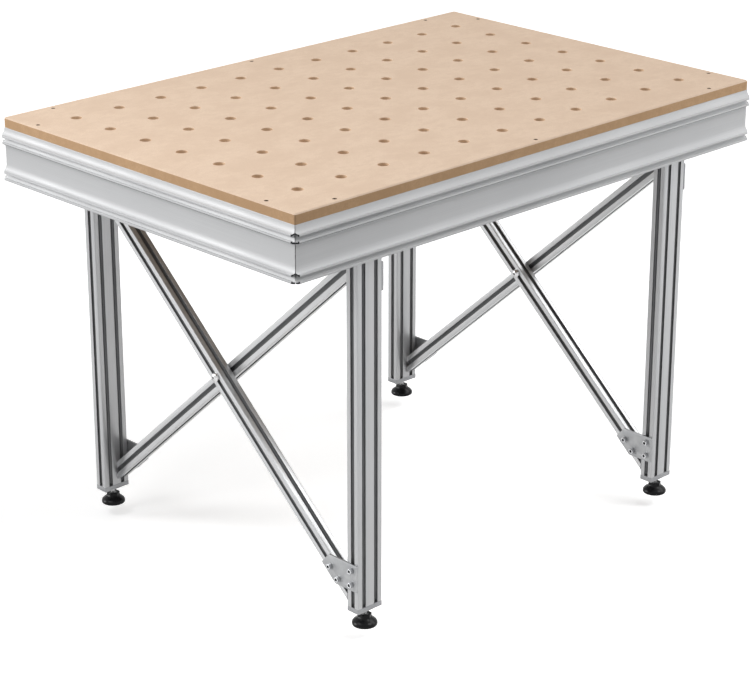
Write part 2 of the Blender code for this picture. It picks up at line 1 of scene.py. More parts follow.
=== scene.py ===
import bpy
import bmesh
import math
from mathutils import Matrix, Vector


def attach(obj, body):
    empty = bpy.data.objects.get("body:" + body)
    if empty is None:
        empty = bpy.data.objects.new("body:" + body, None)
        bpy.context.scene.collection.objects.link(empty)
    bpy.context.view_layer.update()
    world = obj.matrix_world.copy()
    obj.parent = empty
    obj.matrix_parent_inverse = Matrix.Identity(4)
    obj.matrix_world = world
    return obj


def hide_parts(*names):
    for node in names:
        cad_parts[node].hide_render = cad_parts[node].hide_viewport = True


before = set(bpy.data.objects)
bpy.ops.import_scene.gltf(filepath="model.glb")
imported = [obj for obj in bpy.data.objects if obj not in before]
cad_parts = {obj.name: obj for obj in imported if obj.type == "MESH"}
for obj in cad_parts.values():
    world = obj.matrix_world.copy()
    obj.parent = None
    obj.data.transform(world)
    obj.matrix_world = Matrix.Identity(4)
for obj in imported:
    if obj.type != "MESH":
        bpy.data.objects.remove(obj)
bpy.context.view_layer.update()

# Rails. Four extruded aluminium rails carry the board. Each has two dovetail clamp channels
# outside and a T-slot inside. They are anodised silver and sawn to 45 degrees at the corners,
# where the clamp lips are also trimmed back square to the corner.
# Places are in metres, and profiles in millimetres.
MM = 0.001
BOARD_LENGTH = 1.140
BOARD_WIDTH = 0.760
RAIL_TOP = 0.7747
SAW_GAP = 0.0007
LIP_CUT = 0.0037
RAIL_HEIGHT = 96.0
RAIL_DEPTH = 19.0
RAIL_WALL = 2.5
LIP_REACH = 7.5
LIP_INNER = 5.9
LIP_FACE = 3.6
LIP_EDGE = 1.4
COVE_HEIGHT = 14.0
COVE_STEPS = 10
UPPER_MOUTH = 17.6
LOWER_MOUTH = 84.0
MOUTH_WIDTH = 7.6
CHANNEL_RISE = 5.0
CHANNEL_BACK = 2.5
CHANNEL_FLOOR = 9.3
RAMP_REACH = 2.7
WEB_TOP = 29.6
REBATE = 1.0
RAIL_SLOT_HIGH = 41.0
RAIL_SLOT_LOW = 55.0
RAIL_SLOT_LIP = 3.0
RAIL_SLOT_BACK = 12.0
HOLLOW_STEP = 75.5
BAR_SPARE = 0.03
SHARP = math.radians(32)


def rounded(corners, steps=3):
    """A closed outline in metres from corners (across, up, corner radius) in millimetres."""
    outline = []
    for number, (across, up, radius) in enumerate(corners):
        corner = Vector((across, up))
        before = Vector(corners[number - 1][:2]) - corner
        after = Vector(corners[(number + 1) % len(corners)][:2]) - corner
        half = before.angle(after) / 2
        if not radius or half > math.radians(80):
            outline.append(corner * MM)
            continue
        reach = min(radius / math.tan(half), before.length * 0.45, after.length * 0.45)
        before.normalize()
        after.normalize()
        centre = corner + (before + after).normalized() * reach / math.cos(half)
        first = corner + before * reach - centre
        last = corner + after * reach - centre
        for step in range(steps + 1):
            outline.append((centre + first.slerp(last, step / steps) * first.length) * MM)
    return outline


def round_hole(across, up, radius, sides=16):
    """The outline of a round hollow, in metres from millimetres."""
    turns = [2 * math.pi * side / sides for side in range(sides)]
    return [Vector((across + radius * math.cos(turn), up + radius * math.sin(turn))) * MM
            for turn in turns]


def bar(name, outlines, low, high):
    """Extrude a section from z = low to z = high; outlines after the first are hollows."""
    bpy.ops.object.select_all(action="DESELECT")
    bpy.ops.mesh.primitive_circle_add(vertices=len(outlines[0]))
    piece = bpy.context.object
    piece.name = name
    bpy.ops.object.mode_set(mode="EDIT")
    for number, outline in enumerate(outlines):
        if number:
            bpy.ops.mesh.primitive_circle_add(vertices=len(outline))
        shape = bmesh.from_edit_mesh(piece.data)
        drawn = [vert for vert in shape.verts if vert.select]
        for vert, (across, up) in zip(drawn, outline):
            vert.co = (across, up, low)
        bmesh.update_edit_mesh(piece.data)
    bpy.ops.mesh.select_all(action="SELECT")
    bpy.ops.mesh.fill()
    bpy.ops.mesh.beautify_fill()
    bpy.ops.mesh.extrude_region_move(TRANSFORM_OT_translate={"value": (0, 0, high - low)})
    bpy.ops.mesh.select_all(action="SELECT")
    bpy.ops.mesh.normals_make_consistent(inside=False)
    bpy.ops.object.mode_set(mode="OBJECT")
    return piece


def sawn(piece, point, normal):
    """Saw off what lies on the normal's side of a plane and close the cut."""
    bpy.ops.object.select_all(action="DESELECT")
    piece.select_set(True)
    bpy.context.view_layer.objects.active = piece
    bpy.ops.object.mode_set(mode="EDIT")
    bpy.ops.mesh.select_all(action="SELECT")
    bpy.ops.mesh.bisect(plane_co=point, plane_no=normal, use_fill=True, clear_outer=True)
    bpy.ops.object.mode_set(mode="OBJECT")


def mark_grain(piece):
    """Keep each point's place along the bar, so that the die lines run with it."""
    grain = piece.data.attributes.new("grain", "FLOAT_VECTOR", "POINT")
    places = [value for vert in piece.data.vertices for value in vert.co]
    grain.data.foreach_set("vector", places)


def placed(piece, name, matrix):
    """Put a piece in its place, with the place in its mesh."""
    bpy.ops.object.select_all(action="DESELECT")
    piece.select_set(True)
    bpy.context.view_layer.objects.active = piece
    piece.matrix_world = matrix
    bpy.ops.object.transform_apply(location=True, rotation=True, scale=True)
    piece.name = name
    return piece


def copy_of(piece, name, matrix):
    """A copy with a mesh of its own, put in its place."""
    bpy.ops.object.select_all(action="DESELECT")
    piece.select_set(True)
    bpy.context.view_layer.objects.active = piece
    bpy.ops.object.duplicate()
    return placed(bpy.context.object, name, matrix)


def removed(*pieces):
    """Take pattern pieces away once they have been copied."""
    for piece in pieces:
        bpy.data.objects.remove(piece, do_unlink=True)


def shaded_by_angle(piece, angle=SHARP):
    """Smooth the curves and keep the edges."""
    bpy.ops.object.select_all(action="DESELECT")
    piece.select_set(True)
    bpy.context.view_layer.objects.active = piece
    bpy.ops.object.shade_smooth_by_angle(angle=angle)


def finish(name, roughness, metallic):
    """A new material and its shader, with the values that are the same all over."""
    made = bpy.data.materials.new(name)
    made.use_nodes = True
    shader = made.node_tree.nodes["Principled BSDF"]
    shader.inputs["Roughness"].default_value = roughness
    shader.inputs["Metallic"].default_value = metallic
    return made, shader


def pattern(made, scale, detail=2.0, roughness=0.5, follow="Object"):
    """Noise over a piece: scale is how often it turns in a metre along X, Y and Z."""
    nodes, links = made.node_tree.nodes, made.node_tree.links
    if follow == "Object":
        place = nodes.new("ShaderNodeTexCoord").outputs["Object"]
    else:
        own = nodes.new("ShaderNodeAttribute")
        own.attribute_name = follow
        place = own.outputs["Vector"]
    mapping = nodes.new("ShaderNodeMapping")
    mapping.inputs["Scale"].default_value = scale
    links.new(place, mapping.inputs["Vector"])
    noise = nodes.new("ShaderNodeTexNoise")
    noise.inputs["Scale"].default_value = 1.0
    noise.inputs["Detail"].default_value = detail
    noise.inputs["Roughness"].default_value = roughness
    links.new(mapping.outputs["Vector"], noise.inputs["Vector"])
    return noise.outputs["Fac"]


def ranged(made, source, low, high, start=0.3, end=0.7):
    """A pattern's values between start and end, stretched from low to high."""
    spread = made.node_tree.nodes.new("ShaderNodeMapRange")
    spread.inputs["From Min"].default_value = start
    spread.inputs["From Max"].default_value = end
    spread.inputs["To Min"].default_value = low
    spread.inputs["To Max"].default_value = high
    made.node_tree.links.new(source, spread.inputs["Value"])
    return spread.outputs["Result"]


def blended(made, amount, first, second):
    """A colour between two; each is a colour or the output of another blend."""
    mix = made.node_tree.nodes.new("ShaderNodeMix")
    mix.data_type = "RGBA"
    made.node_tree.links.new(amount, mix.inputs["Factor"])
    for socket, colour in ((mix.inputs[6], first), (mix.inputs[7], second)):
        if isinstance(colour, bpy.types.NodeSocket):
            made.node_tree.links.new(colour, socket)
        else:
            socket.default_value = (*colour, 1.0)
    return mix.outputs[2]


def bumped(made, shader, height, strength, distance, under=None):
    """Raise the surface by a pattern, over an earlier bump if there is one."""
    bump = made.node_tree.nodes.new("ShaderNodeBump")
    bump.inputs["Strength"].default_value = strength
    bump.inputs["Distance"].default_value = distance
    made.node_tree.links.new(height, bump.inputs["Height"])
    if under:
        made.node_tree.links.new(under, bump.inputs["Normal"])
    made.node_tree.links.new(bump.outputs["Normal"], shader.inputs["Normal"])
    return bump.outputs["Normal"]


def anodised_finish(name, pale, deep, rough, metallic):
    """Satin anodised aluminium: die lines along the bar, a fine matt grain and faint clouds."""
    made, shader = finish(name, rough, metallic)
    links = made.node_tree.links
    die_lines = pattern(made, (1300, 1300, 3), 3.0, 0.6, "grain")
    clouds = pattern(made, (9, 9, 5), 2.0, 0.5, "grain")
    etch = pattern(made, (2600, 2600, 2600), 1.0, 0.5, "grain")
    lined = blended(made, ranged(made, die_lines, 0.0, 1.0), pale, deep)
    worn = blended(made, ranged(made, clouds, 0.0, 0.35), lined, deep)
    links.new(worn, shader.inputs["Base Color"])
    links.new(ranged(made, clouds, rough - 0.06, rough + 0.06), shader.inputs["Roughness"])
    lines = bumped(made, shader, die_lines, 0.10, 0.0001)
    bumped(made, shader, etch, 0.08, 0.0001, lines)
    return made


rail_finish = anodised_finish("rail_anodised", (0.60, 0.605, 0.61), (0.54, 0.545, 0.555),
                              0.54, 0.16)
# A darker copy of the anodised finish: painted shade for the shadowed insides of the leg and brace
# slots.
slot_shade_finish = anodised_finish("slot_anodised_painted_shade", (0.28, 0.283, 0.29), (0.20, 0.203, 0.21),
                              0.50, 0.35)
# A near-black copy of the anodised finish for the rebate face under each lower lip: painted shade
# for the shadow line that the lip casts on the web.
rebate_shade_finish = anodised_finish("rebate_painted_shade", (0.10, 0.102, 0.105), (0.06, 0.062, 0.065),
                                0.60, 0.10)
# Near-black sawn faces: painted shade for the dark mitre seams and trimmed lip ends; the saw lines
# in them are real marks.
saw_cut_shade, saw_shader = finish("sawn_aluminium_painted_shade", 0.7, 0.0)
saw_shader.inputs["Specular IOR Level"].default_value = 0.15
saw_lines = pattern(saw_cut_shade, (200, 200, 2400), 3.0)
saw_cut_shade.node_tree.links.new(blended(saw_cut_shade, ranged(saw_cut_shade, saw_lines, 0, 1), (0.03, 0.03, 0.032),
                                    (0.075, 0.075, 0.08)), saw_shader.inputs["Base Color"])
bumped(saw_cut_shade, saw_shader, saw_lines, 0.3, 0.0002)


def upper_lip(mouth):
    """A hollow sweep from the web's face, upright at first, out to the lip's upright edge."""
    edge = mouth - LIP_FACE
    turns = [math.radians(85) * step / COVE_STEPS for step in range(COVE_STEPS + 1)]
    points = [(LIP_REACH * (1 - math.cos(turn)), edge - COVE_HEIGHT * (1 - math.sin(turn)),
               0 if turn else 0.8) for turn in turns]
    return points + [(LIP_REACH, edge, 0.35), (LIP_REACH, mouth, 0.35)]


def channel(mouth):
    """One clamp channel: the roof, the back, the ramp down to the floor and the lower lip's
    turned-up edge."""
    return [(LIP_INNER, mouth, 0.35), (LIP_INNER, mouth - LIP_EDGE, 0.5),
            (0.5, mouth - CHANNEL_RISE, 0.6), (-CHANNEL_BACK, mouth - CHANNEL_RISE, 0.6),
            (-CHANNEL_BACK, mouth - 1.0, 1.0), (RAMP_REACH, mouth + CHANNEL_FLOOR, 0.8),
            (LIP_INNER, mouth + CHANNEL_FLOOR, 0.4), (LIP_INNER, mouth + MOUTH_WIDTH, 0.35),
            (LIP_REACH, mouth + MOUTH_WIDTH, 0.5)]


rail_outline = upper_lip(UPPER_MOUTH) + channel(UPPER_MOUTH)
# A small rebate at the lower lip's bottom edge, whose face carries a painted shadow line.
rail_outline += [(LIP_REACH, WEB_TOP - REBATE - 0.1, 0.3),
                 (LIP_REACH - REBATE, WEB_TOP - REBATE, 0.2),
                 (LIP_REACH - REBATE, WEB_TOP, 0.4), (0, WEB_TOP, 0.8)]
rail_outline += upper_lip(LOWER_MOUTH) + channel(LOWER_MOUTH)
rail_outline += [(LIP_REACH, RAIL_HEIGHT, 0.5), (-RAIL_DEPTH, RAIL_HEIGHT, 0.5)]
inner_wall = RAIL_DEPTH - RAIL_WALL
rail_outline += [(-RAIL_DEPTH, RAIL_SLOT_LOW - RAIL_SLOT_LIP, 0.3),
                 (-inner_wall, RAIL_SLOT_LOW - RAIL_SLOT_LIP, 0.3),
                 (-inner_wall, RAIL_SLOT_LOW, 0.3), (-RAIL_SLOT_BACK, RAIL_SLOT_LOW, 0.3),
                 (-RAIL_SLOT_BACK, RAIL_SLOT_HIGH, 0.3), (-inner_wall, RAIL_SLOT_HIGH, 0.3),
                 (-inner_wall, RAIL_SLOT_HIGH + RAIL_SLOT_LIP, 0.3),
                 (-RAIL_DEPTH, RAIL_SLOT_HIGH + RAIL_SLOT_LIP, 0.3), (-RAIL_DEPTH, 0, 0.5)]
outer_wall = CHANNEL_BACK + RAIL_WALL
above_slot = RAIL_SLOT_HIGH - RAIL_WALL
below_slot = RAIL_SLOT_LOW + RAIL_WALL
rail_hollows = [[(-outer_wall, RAIL_WALL, 0.5), (-outer_wall, WEB_TOP, 0.5),
                 (-RAIL_WALL, WEB_TOP, 0.5), (-RAIL_WALL, above_slot, 0.5),
                 (-inner_wall, above_slot, 0.5), (-inner_wall, RAIL_WALL, 0.5)],
                [(-RAIL_WALL, below_slot, 0.5), (-RAIL_WALL, HOLLOW_STEP, 0.5),
                 (-outer_wall, HOLLOW_STEP, 0.5), (-outer_wall, RAIL_HEIGHT - RAIL_WALL, 0.5),
                 (-inner_wall, RAIL_HEIGHT - RAIL_WALL, 0.5), (-inner_wall, below_slot, 0.5)]]
rail_section = [[Vector((point.x, -point.y)) for point in rounded(ring)]
                for ring in [rail_outline] + rail_hollows]
upright = Matrix(((0, 0, -1, 0), (-1, 0, 0, 0), (0, 1, 0, 0), (0, 0, 0, 1)))
rail_patterns = []
for rail_length in (BOARD_LENGTH, BOARD_WIDTH):
    end = rail_length / 2 - SAW_GAP
    rail = bar("rail", rail_section, -end - BAR_SPARE, end + BAR_SPARE)
    for side in (-1, 1):
        sawn(rail, (0, 0, side * end), (-1, 0, side))
        sawn(rail, (0, 0, side * (end + SAW_GAP + LIP_CUT * math.sqrt(2))), (1, 0, side))
    mark_grain(rail)
    rail.data.materials.append(rail_finish)
    rail.data.materials.append(saw_cut_shade)
    rail.data.materials.append(rebate_shade_finish)
    for face in rail.data.polygons:
        out, depth = face.center.x / MM, -face.center.y / MM
        in_rebate = abs(WEB_TOP - REBATE / 2 - depth) < 0.4
        # Cut faces get the near-black sawn finish, which is painted shade.
        if abs(face.normal.z) > 0.3:
            face.material_index = 1
        # The rebate's upright face gets painted shade, the shadow line under the lip.
        elif in_rebate and abs(out - LIP_REACH + REBATE) < 0.1:
            face.material_index = 2
    shaded_by_angle(rail)
    rail_patterns.append(rail)
long_rail, short_rail = rail_patterns
for name, rail, turn, inset in (("rail_front", long_rail, 0, BOARD_WIDTH / 2),
                                ("rail_rear", long_rail, 180, BOARD_WIDTH / 2),
                                ("rail_left", short_rail, -90, BOARD_LENGTH / 2),
                                ("rail_right", short_rail, 90, BOARD_LENGTH / 2)):
    where = Matrix.Rotation(math.radians(turn), 4, "Z") @ Matrix.Translation((0, -inset, RAIL_TOP))
    piece = copy_of(rail, "clamp_" + name, where @ upright)
    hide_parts(name)
    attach(piece, "bench")
removed(long_rail, short_rail)

# Corner keys. Steel angles pressed into the rails' inner slots hold each mitre together; they
# are hidden once the frame is closed, so the solids stay and get the zinc of the fittings.
def zinc_finish(name, pale, deep, roughness):
    """Bright zinc plate: cloudy, with a faint spangle and rubbed spots."""
    made, shader = finish(name, roughness, 0.85)
    links = made.node_tree.links
    clouds = pattern(made, (45, 45, 45), 4.0, 0.6)
    spangle = pattern(made, (900, 900, 900), 2.0, 0.5)
    plated = blended(made, ranged(made, clouds, 0.0, 1.0), pale, deep)
    rubbed = blended(made, ranged(made, spangle, 0.0, 0.3, 0.5, 0.7), plated, pale)
    links.new(rubbed, shader.inputs["Base Color"])
    links.new(ranged(made, clouds, roughness - 0.05, roughness + 0.07), shader.inputs["Roughness"])
    bumped(made, shader, spangle, 0.12, 0.0001)
    return made


fitting_zinc = zinc_finish("zinc_plate", (0.40, 0.405, 0.41), (0.325, 0.33, 0.34), 0.46)
CORNERS = (("front_left", -1, -1), ("front_right", 1, -1), ("rear_left", -1, 1),
           ("rear_right", 1, 1))
for corner, side_x, side_y in CORNERS:
    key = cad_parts["corner_key_" + corner]
    for place in key.material_slots:
        place.material = fitting_zinc

# Legs. Each is a double T-slot extrusion, 56 by 27 mm, with slots in all four sides, a bored
# core under each slot pair and its long edges rounded. It is sawn square and anodised.
LEG_X = 0.3896
LEG_Y = 0.3472
LEG_LOW = 0.0408
LEG_HIGH = 0.7747
LEG_WIDE = 56.0
LEG_NARROW = 27.0
SLOT_CENTRE = 14.0
LEG_BOLT_HEIGHT = 0.7267
LEG_BOLT_HOLE = 3.2
CORE_RADIUS = 2.75
EDGE_ROUND = 1.4
SLOT_DEPTH = 0.0005


def slotted(wide, narrow, wide_slots, narrow_slots):
    """A rectangle in millimetres with T-slots at these places in its wide and narrow sides."""
    half = [(4.1, 0, 0.45), (4.1, 2.0, 0.3), (6.75, 2.0, 0.3), (6.75, 5.5, 0.5),
            (4.0, 7.3, 0.5)]
    outline = []
    for length, distance, centres, turn in ((wide, narrow, wide_slots, 0),
                                            (narrow, wide, narrow_slots, 90),
                                            (wide, narrow, wide_slots, 180),
                                            (narrow, wide, narrow_slots, 270)):
        points = [(-length / 2, 0, EDGE_ROUND)]
        for centre in centres:
            points += [(centre - side, depth, edge) for side, depth, edge in half]
            points += [(centre + side, depth, edge) for side, depth, edge in reversed(half)]
        for along, depth, edge in points:
            corner = Vector((along, depth - distance / 2))
            corner.rotate(Matrix.Rotation(math.radians(turn), 2))
            outline.append((corner.x, corner.y, edge))
    return outline


def cut_by(piece, cutter, operation="DIFFERENCE"):
    """Cut a piece with another, which is then gone."""
    bpy.ops.object.select_all(action="DESELECT")
    piece.select_set(True)
    bpy.context.view_layer.objects.active = piece
    bpy.ops.object.modifier_add(type="BOOLEAN")
    cut = piece.modifiers[-1]
    cut.object = cutter
    cut.operation = operation
    cut.solver = "EXACT"
    bpy.ops.object.modifier_apply(modifier=cut.name)
    bpy.data.objects.remove(cutter, do_unlink=True)


def drill(radius, reach, place, turn=(0, 0, 0), sides=24):
    """A round cutter through a place, along Z unless it is turned."""
    bpy.ops.object.select_all(action="DESELECT")
    bpy.ops.mesh.primitive_cylinder_add(vertices=sides, radius=radius, depth=2 * reach,
                                        location=place, rotation=turn)
    return bpy.context.object


def paint_slot_shade(piece, wide, narrow):
    """Give what lies inside the slots a darker copy of the anodised finish: painted shade for the
    slots' shadowed insides.
    """
    piece.data.materials.append(slot_shade_finish)
    for face in piece.data.polygons:
        inside = min(wide * MM / 2 - abs(face.center.x), narrow * MM / 2 - abs(face.center.y))
        face.material_index = int(inside > SLOT_DEPTH and abs(face.normal.z) < 0.3)


leg_finish = anodised_finish("leg_anodised", (0.545, 0.55, 0.555), (0.48, 0.485, 0.495),
                             0.38, 0.50)
leg_rings = [rounded(slotted(LEG_WIDE, LEG_NARROW, (-SLOT_CENTRE, SLOT_CENTRE), (0,))),
             rounded([(-6.0, -6.4, 0.8), (6.0, -6.4, 0.8), (6.0, 6.4, 0.8), (-6.0, 6.4, 0.8)]),
             round_hole(-SLOT_CENTRE, 0, CORE_RADIUS), round_hole(SLOT_CENTRE, 0, CORE_RADIUS)]
leg = bar("leg", leg_rings, LEG_LOW, LEG_HIGH)
for side in (-1, 1):
    cut_by(leg, drill(LEG_BOLT_HOLE * MM, 0.02, (side * SLOT_CENTRE * MM, 0, LEG_BOLT_HEIGHT),
                      (math.pi / 2, 0, 0)))
mark_grain(leg)
leg.data.materials.append(leg_finish)
# Faces inside the slots get painted shade.
paint_slot_shade(leg, LEG_WIDE, LEG_NARROW)
shaded_by_angle(leg)
for corner, side_x, side_y in CORNERS:
    piece = copy_of(leg, "slotted_leg_" + corner,
                    Matrix.Translation((side_x * LEG_X, side_y * LEG_Y, 0)))
    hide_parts("leg_" + corner)
    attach(piece, "bench")
removed(leg)

# Leg bolts. Two M6 socket-head screws go through each leg into a nut bar in the rail's inner
# slot. The heads are knurled, with a hexagon socket, and all of it is bright zinc plated.
HEAD_RADIUS = 5.0
HEAD_HEIGHT = 6.0
SHANK_RADIUS = 2.8
SOCKET_RADIUS = 2.89
KNURLS = 24
KNURL_CUT = 0.965


def turned(name, profile, sides):
    """A turned piece about Z from (radius, height) in millimetres, from its first cap on."""
    bpy.ops.object.select_all(action="DESELECT")
    radius, height = profile[0]
    bpy.ops.mesh.primitive_circle_add(vertices=sides, radius=radius * MM, fill_type="NGON",
                                      location=(0, 0, 0))
    piece = bpy.context.object
    piece.name = name
    bpy.ops.object.mode_set(mode="EDIT")
    bpy.ops.mesh.select_all(action="SELECT")
    bpy.ops.transform.translate(value=(0, 0, height * MM))
    for next_radius, next_height in profile[1:]:
        rise = (next_height - height) * MM
        grow = next_radius / radius
        bpy.ops.mesh.extrude_region_move(TRANSFORM_OT_translate={"value": (0, 0, rise)})
        bpy.ops.transform.resize(value=(grow, grow, 1),
                                 center_override=(0, 0, next_height * MM))
        radius, height = next_radius, next_height
    bpy.ops.mesh.select_all(action="SELECT")
    bpy.ops.mesh.normals_make_consistent(inside=False)
    bpy.ops.object.mode_set(mode="OBJECT")
    return piece


def joined(name, pieces):
    """Several pieces made one object."""
    bpy.ops.object.select_all(action="DESELECT")
    for piece in pieces:
        piece.select_set(True)
    bpy.context.view_layer.objects.active = pieces[0]
    bpy.ops.object.join()
    pieces[0].name = name
    return pieces[0]


def bevelled(piece, width, segments=2):
    """Soften a piece's edges."""
    bpy.ops.object.select_all(action="DESELECT")
    piece.select_set(True)
    bpy.context.view_layer.objects.active = piece
    bpy.ops.object.modifier_add(type="BEVEL")
    softening = piece.modifiers[-1]
    softening.width = width
    softening.segments = segments
    softening.limit_method = "ANGLE"
    softening.angle_limit = math.radians(40)
    bpy.ops.object.modifier_apply(modifier=softening.name)


def block(name, size, centre, soft):
    """A bar of rectangular section with softened edges, in millimetres."""
    bpy.ops.object.select_all(action="DESELECT")
    bpy.ops.mesh.primitive_cube_add(size=1.0, location=[part * MM for part in centre])
    piece = bpy.context.object
    piece.scale = [part * MM for part in size]
    bpy.ops.object.transform_apply(location=True, rotation=True, scale=True)
    piece.name = name
    bevelled(piece, soft * MM)
    return piece


def cap_screw(seat, tip):
    """A socket-head screw about Z in millimetres, its head standing on seat."""
    top = seat + HEAD_HEIGHT
    screw = turned("screw", [(SHANK_RADIUS - 0.4, tip), (SHANK_RADIUS, tip + 0.5),
                             (SHANK_RADIUS, seat), (HEAD_RADIUS - 0.3, seat),
                             (HEAD_RADIUS, seat + 0.3), (HEAD_RADIUS, seat + 0.9),
                             (HEAD_RADIUS, top - 1.2), (HEAD_RADIUS - 0.15, top - 0.5),
                             (HEAD_RADIUS - 0.7, top), (3.3, top), (3.05, top - 0.25)],
                   2 * KNURLS)
    for vert in screw.data.vertices:
        height = vert.co.z / MM
        if seat + 0.5 < height < top - 0.9:
            turn = math.atan2(vert.co.y, vert.co.x) / math.pi * KNURLS
            if round(turn) % 2:
                vert.co.x *= KNURL_CUT
                vert.co.y *= KNURL_CUT
    socket = turned("socket", [(0.2, top - 3.8), (SOCKET_RADIUS, top - 3.0),
                               (SOCKET_RADIUS, top + 2.0)], 6)
    cut_by(screw, socket)
    # The faces deep in the socket get the near-black painted shade.
    for finish_used in (screw_zinc, socket_shade):
        screw.data.materials.append(finish_used)
    for face in screw.data.polygons:
        deep = top - 4.0 < face.center.z / MM < top - 0.3
        face.material_index = int(deep and face.center.xy.length < (SOCKET_RADIUS + 0.06) * MM)
    return screw


def screw_row(name, places, seat, bar_top, bar_length, bar_width, bar_thick):
    """Cap screws at places along X, with the nut bar that they pull against."""
    nut_bar = block("nut_bar", (bar_length, bar_width, bar_thick),
                    (0, 0, bar_top - bar_thick / 2), 0.3)
    screw = cap_screw(seat, bar_top - bar_thick)
    nut_bar.data.materials.append(screw_zinc)
    row = [nut_bar]
    for place in places:
        row.append(copy_of(screw, "screw", Matrix.Translation((place * MM, 0, 0))))
    removed(screw)
    row = joined(name, row)
    shaded_by_angle(row)
    return row


screw_zinc = zinc_finish("bright_zinc", (0.66, 0.67, 0.68), (0.50, 0.51, 0.53), 0.20)
# Near-black insides of the cap screws' hexagon sockets: painted shade.
socket_shade, socket_shader = finish("socket_painted_shade", 0.6, 0.0)
socket_shader.inputs["Specular IOR Level"].default_value = 0.1
socket_mottle = pattern(socket_shade, (800, 800, 800), 2.0)
socket_shade.node_tree.links.new(blended(socket_shade, ranged(socket_shade, socket_mottle, 0, 1),
                                         (0.012, 0.012, 0.013), (0.03, 0.03, 0.031)),
                                 socket_shader.inputs["Base Color"])
bolt_row = screw_row("bolts", (-SLOT_CENTRE, SLOT_CENTRE), 27.3, -3.1, 41.0, 13.4, 3.9)
LEG_FACE = LEG_Y + LEG_NARROW / 2 * MM
for corner, side_x, side_y in CORNERS:
    facing = Matrix.Rotation(math.radians(90 * side_y), 4, "X")
    where = Matrix.Translation((side_x * LEG_X, side_y * LEG_FACE, LEG_BOLT_HEIGHT)) @ facing
    piece = copy_of(bolt_row, "cap_bolts_" + corner, where)
    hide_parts("leg_bolts_" + corner)
    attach(piece, "bench")
removed(bolt_row)

# End plates. A cast aluminium plate closes each leg and holds the foot's stud. It is painted
# a satin grey, and two countersunk screws hold it from below in the leg's bored cores.
PLATE_LOW = 31.5
PLATE_THICK = 9.0
plate_finish, plate_shader = finish("end_plate_grey", 0.45, 0.75)
cast = pattern(plate_finish, (700, 700, 700), 3.0, 0.6)
plate_clouds = pattern(plate_finish, (30, 30, 30), 2.0)
plate_finish.node_tree.links.new(
    blended(plate_finish, ranged(plate_finish, plate_clouds, 0.0, 1.0), (0.33, 0.335, 0.345),
            (0.27, 0.275, 0.285)), plate_shader.inputs["Base Color"])
plate_finish.node_tree.links.new(ranged(plate_finish, cast, 0.38, 0.52),
                                 plate_shader.inputs["Roughness"])
bumped(plate_finish, plate_shader, cast, 0.25, 0.0001)
end_plate = block("end_plate", (LEG_WIDE, LEG_NARROW, PLATE_THICK),
                  (0, 0, PLATE_LOW + PLATE_THICK / 2), 0.35)
cut_by(end_plate, drill(4.3 * MM, 0.02, (0, 0, 0.036), sides=32))
for side in (-1, 1):
    countersink = turned("countersink", [(4.6, PLATE_LOW - 1.0), (4.6, PLATE_LOW),
                                         (2.6, PLATE_LOW + 2.0), (2.6, PLATE_LOW + 11.0)], 32)
    cut_by(end_plate, placed(countersink, "countersink",
                             Matrix.Translation((side * SLOT_CENTRE * MM, 0, 0))))
end_plate.data.materials.append(plate_finish)
shaded_by_angle(end_plate)
flat_screw = turned("flat_screw", [(4.4, PLATE_LOW + 0.1), (4.4, PLATE_LOW + 0.25),
                                   (2.45, PLATE_LOW + 2.2), (2.45, PLATE_LOW + 16.0),
                                   (2.1, PLATE_LOW + 16.5)], 32)
cut_by(flat_screw, turned("socket", [(1.8, PLATE_LOW - 1.0), (1.8, PLATE_LOW + 1.6),
                                     (0.2, PLATE_LOW + 2.1)], 6))
flat_screw.data.materials.append(screw_zinc)
shaded_by_angle(flat_screw)
for corner, side_x, side_y in CORNERS:
    where = Matrix.Translation((side_x * LEG_X, side_y * LEG_Y, 0))
    piece = copy_of(end_plate, "leg_end_plate_" + corner, where)
    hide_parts("end_plate_" + corner)
    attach(piece, "bench")
    for label, side in (("outer", -1), ("inner", 1)):
        here = Matrix.Translation((side_x * LEG_X + side * SLOT_CENTRE * MM, side_y * LEG_Y, 0))
        piece = copy_of(flat_screw, "plate_screw_%s_%s" % (corner, label), here)
        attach(piece, "bench")
removed(end_plate, flat_screw)

# Feet. An M8 steel stud turns in the end plate to level the bench; its lower end is held in
# a moulded black nylon pad with a domed top and a six-sided hub for a spanner.
THREAD_PITCH = 1.25
THREAD_TURNS = 58
STUD_LOW = 0.0053
STUD_HIGH = 0.0745
HUB_START = 15.2
HUB_FLAT = 0.878
STUD_CREST = 4.0
STUD_ROOT = 3.45


